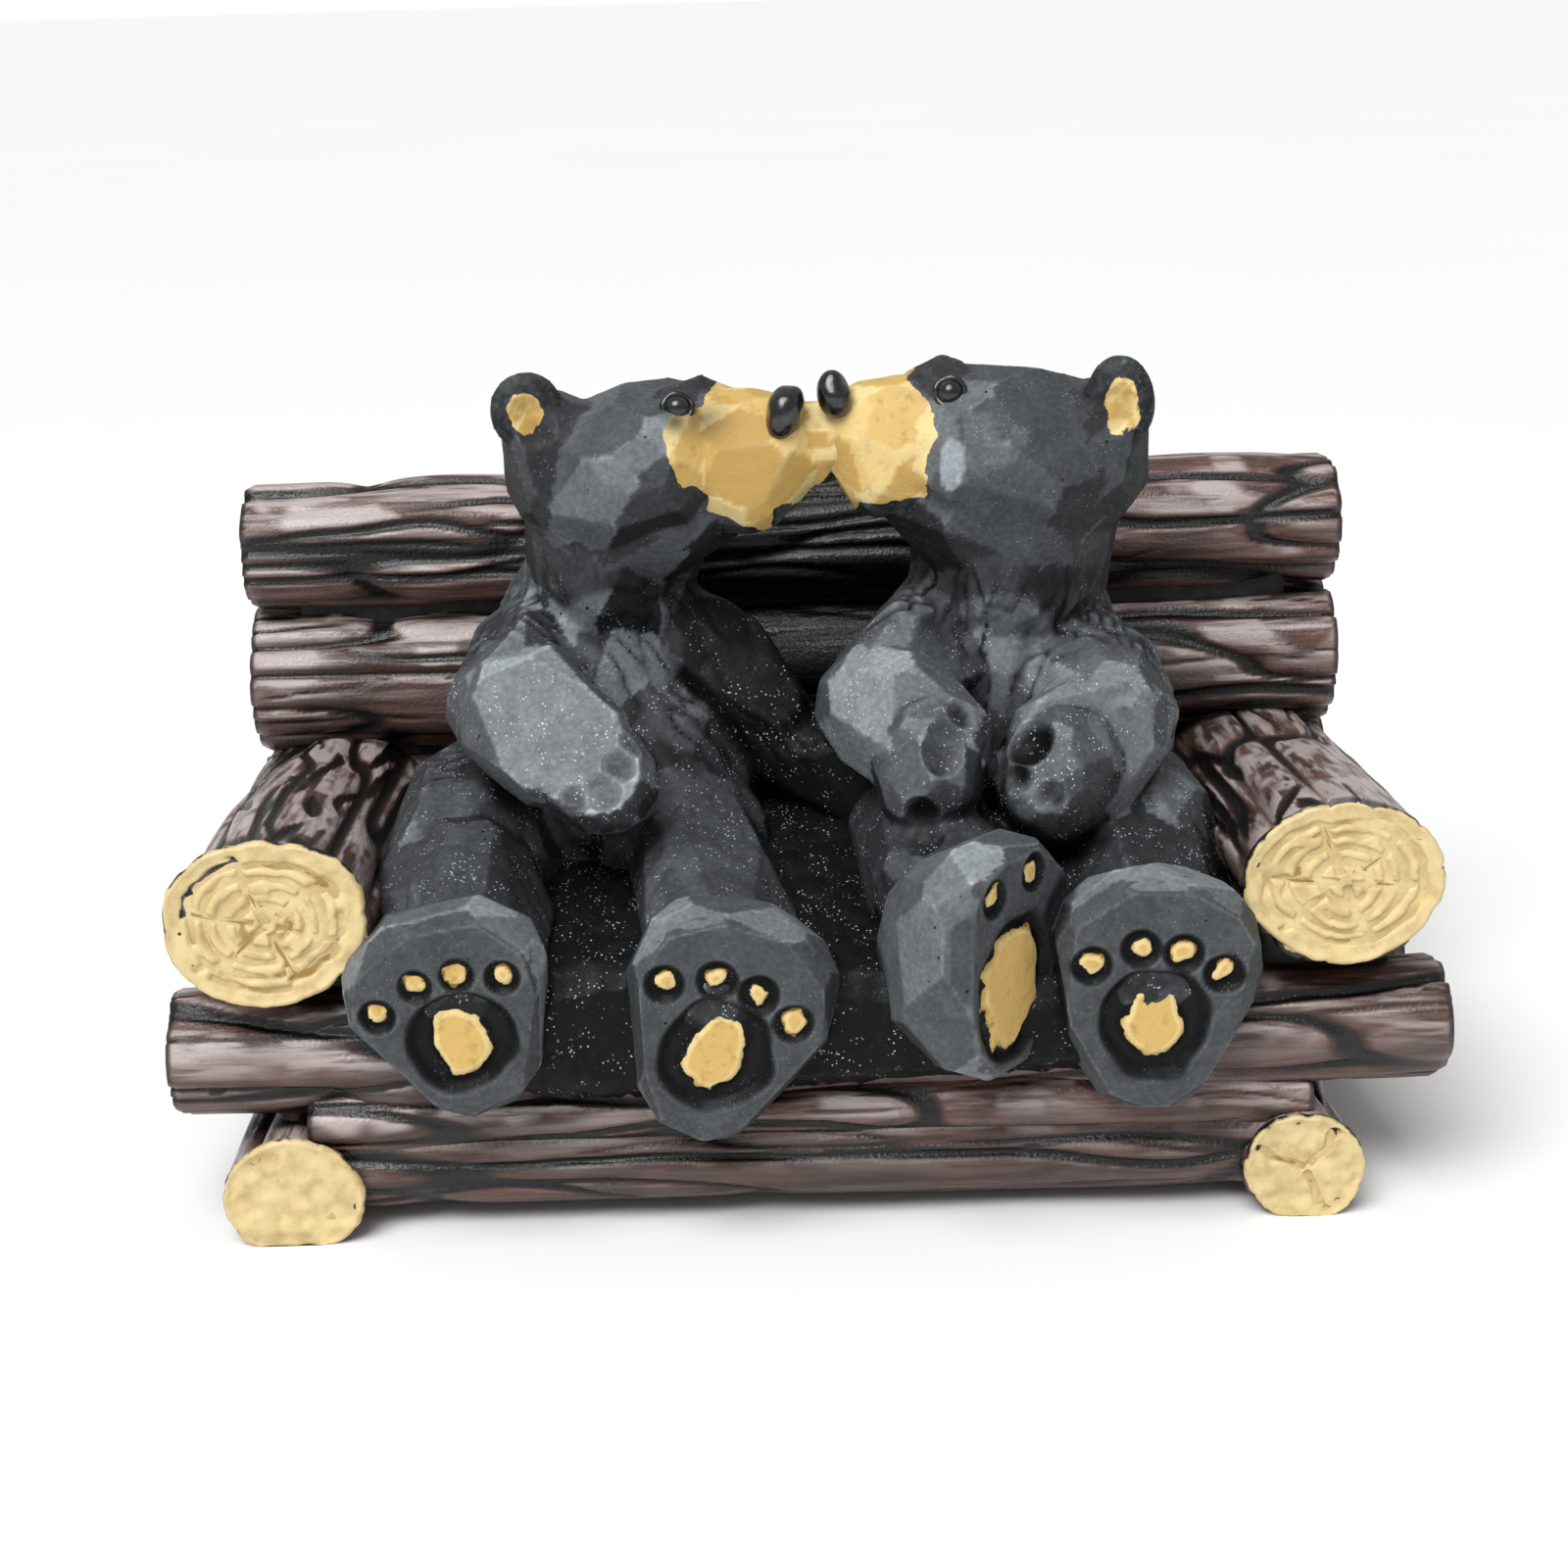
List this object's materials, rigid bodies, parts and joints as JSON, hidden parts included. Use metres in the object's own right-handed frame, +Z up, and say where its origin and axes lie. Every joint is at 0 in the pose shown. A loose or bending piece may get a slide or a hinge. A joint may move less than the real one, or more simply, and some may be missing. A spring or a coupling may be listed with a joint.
{
  "type": "resin bear figurine",
  "caption": "Cast resin figurine of carved black bears that sit nose to nose on a log bench, with faceted fur, tan muzzles and paw pads, and cream log ends.",
  "frame": {"origin": "on the floor, at the middle of the box round the whole figurine", "axes": "+X along the bench to the viewer's right, +Y from the front of the bench to its backrest, +Z up"},
  "size_m": [0.148, 0.0888, 0.0966],
  "materials": {
    "painted_black": "satin black paint, dry-brushed grey on the facets",
    "painted_bark": "brown-red paint with black in the furrows and silvery ridges",
    "cream_wood_ends": "satin cream paint on the cut log ends",
    "gold_paint": "satin tan-gold paint on muzzles, ears and pads",
    "gloss_black": "gloss black paint on noses and eyes"
  },
  "bodies": {
    "root": {"kissing_bears_on_log_bench": "painted_black"}
  },
  "joints": []
}
